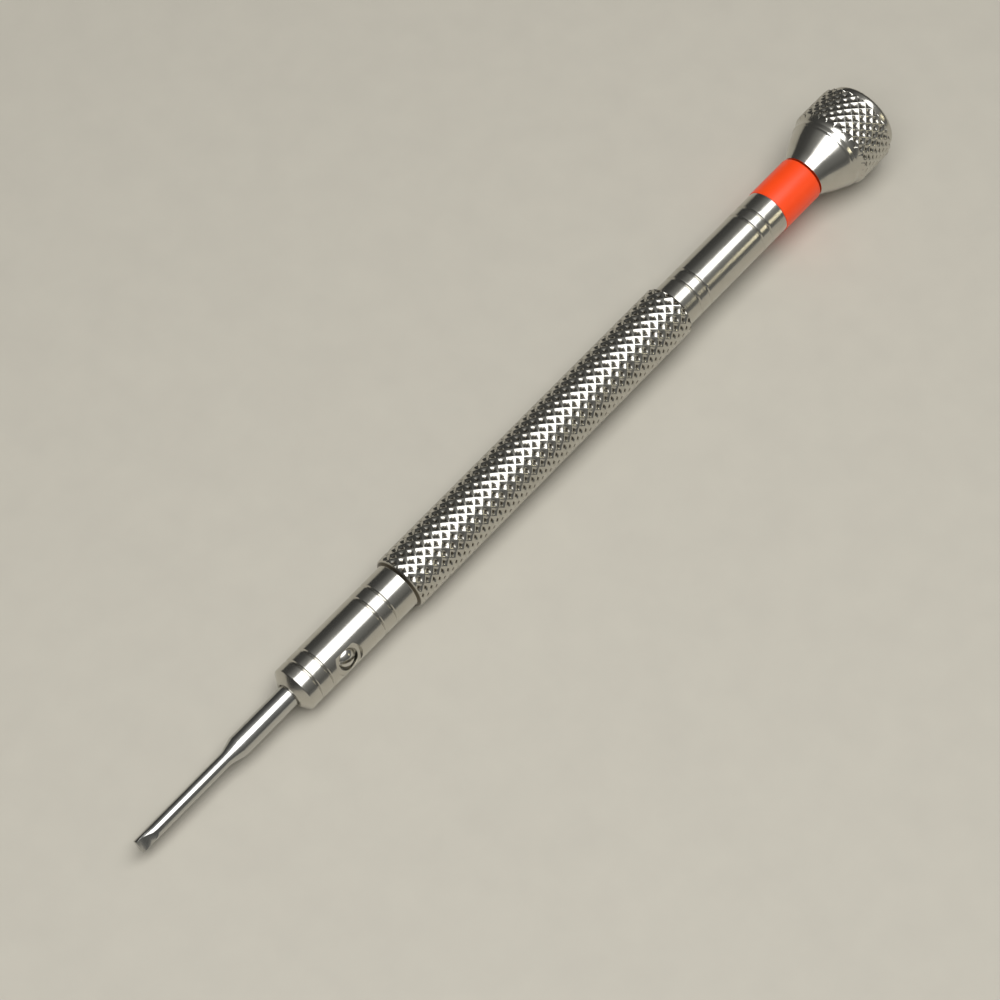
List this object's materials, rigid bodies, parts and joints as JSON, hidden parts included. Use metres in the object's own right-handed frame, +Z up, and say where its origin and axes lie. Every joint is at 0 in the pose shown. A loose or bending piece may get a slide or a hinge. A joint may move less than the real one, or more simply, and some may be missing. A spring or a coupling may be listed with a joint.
{
  "type": "watchmaker screwdriver",
  "caption": "Slim metal screwdriver for watch repair with a clamped chisel blade, knurled grip, red size ring and a free-turning knurled finger head on a ball bearing.",
  "frame": {"origin": "bottom centre of the tool's bounding box as it lies on its side, under the middle of its length", "axes": "+X along the tool's axis from the blade towards the head, +Z up with the tool lying down, -Y towards the clamp screw's side"},
  "size_m": [0.09, 0.0076, 0.0077],
  "materials": {
    "plated_barrel": "nickel-plated turned brass, polished, knurled grip",
    "plated_head": "nickel-plated turned brass, polished, knurled band",
    "plated_cap": "nickel-plated, satin dish",
    "blade_steel": "hardened steel, fine ground along the neck",
    "screw_steel": "hardened steel, polished dome",
    "ring_plastic": "moulded orange-red plastic, semi-gloss",
    "spindle_steel": "ground steel",
    "race_steel": "ground and polished bearing steel",
    "ball_steel": "lapped bearing steel",
    "cage_brass": "machined brass",
    "spring_steel": "blued spring steel"
  },
  "bodies": {
    "barrel": {"handle_barrel": "plated_barrel", "colour_ring": "ring_plastic", "pivot_spindle": "spindle_steel", "spindle_washer": "spindle_steel", "spindle_screw": "screw_steel", "inner_race": "race_steel"},
    "blade": {"blade": "blade_steel"},
    "clamp_screw": {"clamp_screw": "screw_steel"},
    "head": {"head_shell": "plated_head", "finger_cap": "plated_cap", "outer_race": "race_steel", "front_shield": "race_steel", "rear_shield": "race_steel", "snap_ring": "spring_steel"},
    "cage": {"bearing_cage": "cage_brass", "ball_1": "ball_steel", "ball_2": "ball_steel", "ball_3": "ball_steel", "ball_4": "ball_steel", "ball_5": "ball_steel", "ball_6": "ball_steel", "ball_7": "ball_steel"}
  },
  "joints": [
    {"name": "head_swivel", "type": "hinge", "parent": "barrel", "child": "head", "pos_m": [0.0396, 0, 0.00385], "axis": [1, 0, 0], "continuous": true},
    {"name": "cage_roll", "type": "hinge", "parent": "barrel", "child": "cage", "pos_m": [0.0396, 0, 0.00385], "axis": [1, 0, 0], "continuous": true},
    {"name": "blade_slide", "type": "slide", "parent": "barrel", "child": "blade", "axis": [-1, 0, 0], "range_m": [0, 0.0105]},
    {"name": "clamp_screw_turn", "type": "hinge", "parent": "barrel", "child": "clamp_screw", "pos_m": [-0.02305, 0, 0.00385], "axis": [0, -0.9135, 0.4067], "range_deg": [0, 450]}
  ],
  "couplings": [
    {"joint": "cage_roll", "follows": "head_swivel", "ratio": 0.61429}
  ]
}
